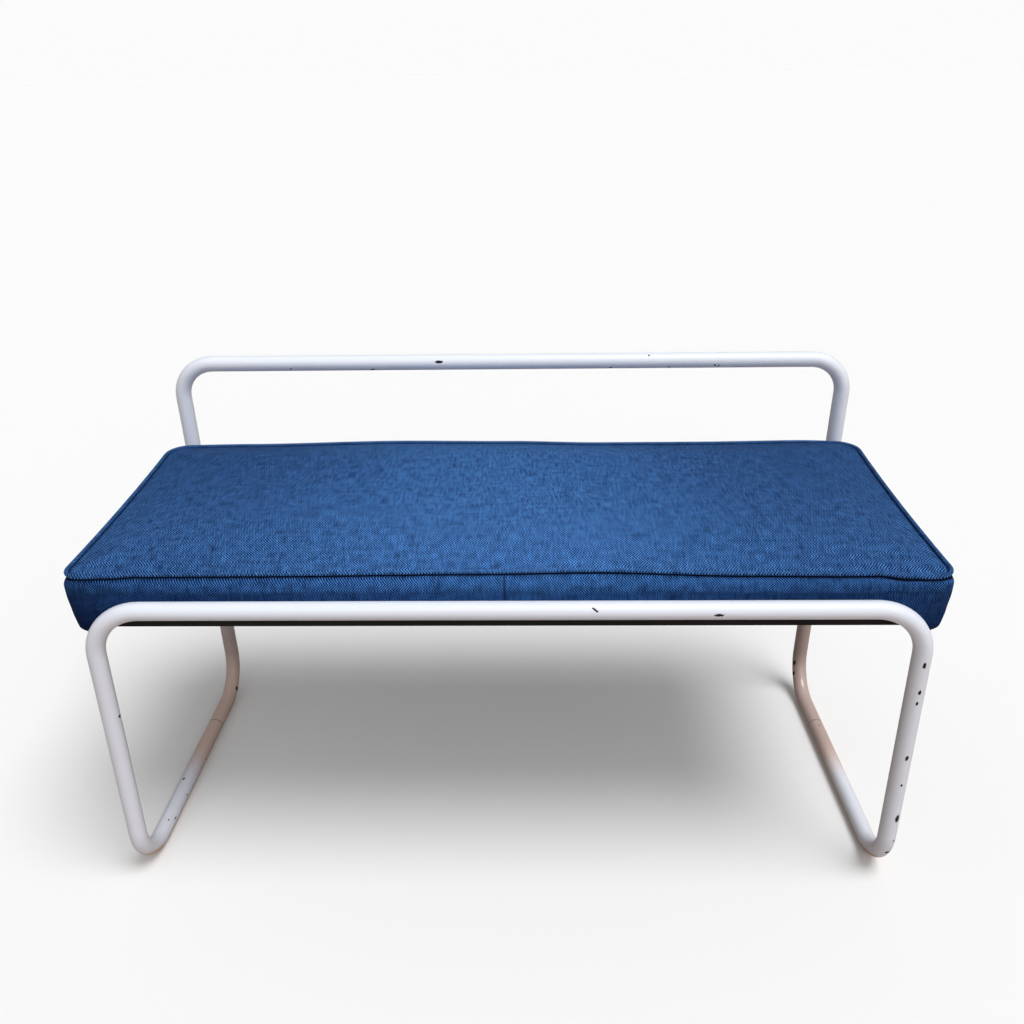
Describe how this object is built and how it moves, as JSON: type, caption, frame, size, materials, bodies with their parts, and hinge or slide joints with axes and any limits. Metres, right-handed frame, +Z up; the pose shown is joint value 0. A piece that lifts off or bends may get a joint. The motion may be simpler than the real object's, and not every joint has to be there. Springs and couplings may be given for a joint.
{
  "type": "upholstered bench",
  "caption": "Low bench of bent steel tube with a padded, piped and boxed seat cushion on a board, a low back rail and runners on the floor.",
  "frame": {"origin": "on the floor, under the middle of the frame", "axes": "+X along the bench, to the right for someone who stands before it; -Y is the front, +Y the side with the low back rail; +Z up"},
  "size_m": [1.019, 0.431, 0.583],
  "materials": {
    "white_powder_coat": "semi-gloss white powder coat, chipped to black in places",
    "zinc_steel": "bright zinc plate",
    "black_board": "board painted satin black",
    "blue_herringbone": "woven herringbone of light blue and navy yarns",
    "black_lining": "plain black lining cloth",
    "cushion_foam": "bare upholstery foam",
    "zip_tape": "navy woven zip tape with a moulded chain",
    "zip_metal": "navy enamel"
  },
  "bodies": {
    "root": {"front_tube": "white_powder_coat", "rear_tube": "white_powder_coat", "rear_cross_rail": "white_powder_coat", "front_lug_left": "white_powder_coat", "front_lug_centre": "white_powder_coat", "front_lug_right": "white_powder_coat", "rear_lug_left": "white_powder_coat", "rear_lug_centre": "white_powder_coat", "rear_lug_right": "white_powder_coat", "joint_sleeve_left": "zinc_steel", "joint_sleeve_right": "zinc_steel", "joint_screws": "zinc_steel", "tee_nuts": "zinc_steel", "seat_washers": "zinc_steel", "front_seat_screws": "zinc_steel", "rear_seat_screws": "zinc_steel", "seat_board": "black_board", "cover_top_panel": "blue_herringbone", "cover_boxing": "blue_herringbone", "cover_piping": "blue_herringbone", "cover_base_panel": "black_lining", "cushion_foam": "cushion_foam", "zip_tape": "zip_tape", "zip_slider": "zip_metal"}
  },
  "joints": []
}
